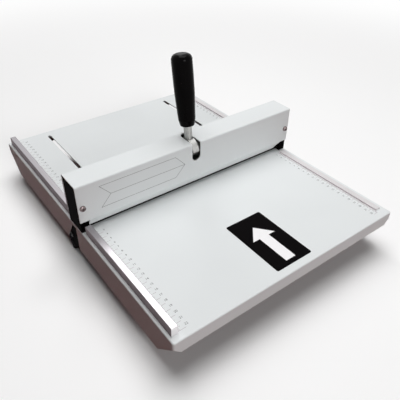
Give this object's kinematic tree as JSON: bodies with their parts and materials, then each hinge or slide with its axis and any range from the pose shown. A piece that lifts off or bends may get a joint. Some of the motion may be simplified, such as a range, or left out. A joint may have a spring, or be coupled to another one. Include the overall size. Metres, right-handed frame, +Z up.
{
  "type": "desktop paper creasing machine",
  "caption": "Hand-lever desktop paper creaser: two flat tables with side guides, and a covered blade that presses a fold line into the sheet.",
  "frame": {"origin": "centre of the overall footprint, on the bench under the feet", "axes": "+Z up, +X along the crease line to the user's right, +Y from the front table to the rear table"},
  "size_m": [0.375, 0.503, 0.2602],
  "materials": {
    "white_paint": "satin powder coat",
    "black_paint": "fine textured powder coat",
    "zinc_steel": "zinc plated",
    "black_screw": "black oxide",
    "cover_screw_steel": "nickel plated",
    "ground_steel": "ground",
    "satin_steel": "turned and polished",
    "spring_steel": "drawn wire",
    "bronze": "sintered",
    "rail_aluminium": "natural anodised",
    "ram_aluminium": "milled",
    "strip_plastic": "extruded",
    "label_film": "printed film",
    "grip_plastic": "moulded",
    "foot_rubber": "moulded"
  },
  "bodies": {
    "base": {"front_table": "white_paint", "rear_table": "white_paint", "base_beam": "black_paint", "beam_cap_left": "black_paint", "beam_cap_right": "black_paint", "beam_tie_rod": "zinc_steel", "tie_rod_screw_left": "black_screw", "tie_rod_screw_right": "black_screw", "die_bar": "ground_steel", "die_bar_screws": "zinc_steel", "end_plate_left": "black_paint", "end_plate_right": "black_paint", "end_plate_screws": "zinc_steel", "shaft_bush_left": "bronze", "shaft_bush_right": "bronze", "tie_bar": "black_paint", "tie_bar_screws": "zinc_steel", "lever_stop_screw": "zinc_steel", "lever_stop_nut": "zinc_steel", "cover": "white_paint", "cover_screws_front": "cover_screw_steel", "cover_screws_rear": "cover_screw_steel", "front_guide_rail": "rail_aluminium", "rear_guide_rail": "rail_aluminium", "front_rail_screws": "zinc_steel", "rear_rail_screws": "zinc_steel", "front_edge_strip": "strip_plastic", "rear_edge_strip": "strip_plastic", "feed_direction_label": "label_film", "centre_foot_left": "foot_rubber", "centre_foot_right": "foot_rubber", "front_foot_left": "foot_rubber", "front_foot_right": "foot_rubber", "rear_foot_left": "foot_rubber", "rear_foot_right": "foot_rubber", "centre_foot_screws": "zinc_steel", "corner_foot_screws": "zinc_steel", "return_spring_left": "spring_steel", "return_spring_right": "spring_steel"},
    "lever": {"cam_shaft": "ground_steel", "lever_hub": "satin_steel", "lever_rod": "satin_steel", "lever_grip": "grip_plastic", "cam_left": "ground_steel", "cam_right": "ground_steel", "cam_pins": "zinc_steel"},
    "ram": {"ram": "ram_aluminium", "crease_blade": "ground_steel", "blade_clamp": "ram_aluminium", "clamp_screws": "zinc_steel"}
  },
  "joints": [
    {"name": "lever_swing", "type": "hinge", "parent": "base", "child": "lever", "pos_m": [0, -0.0205, 0.123], "axis": [1, 0, 0], "range_deg": [0, 80], "stiffness_Nm_per_rad": 0.2, "springref_deg": -32.09},
    {"name": "ram_slide", "type": "slide", "parent": "base", "child": "ram", "axis": [0, 0, -1], "range_m": [0, 0.00501], "deforming": ["return_spring_left", "return_spring_right"]}
  ],
  "couplings": [
    {"joint": "ram_slide", "follows": "lever_swing", "m_per_rad": 0.003581}
  ]
}
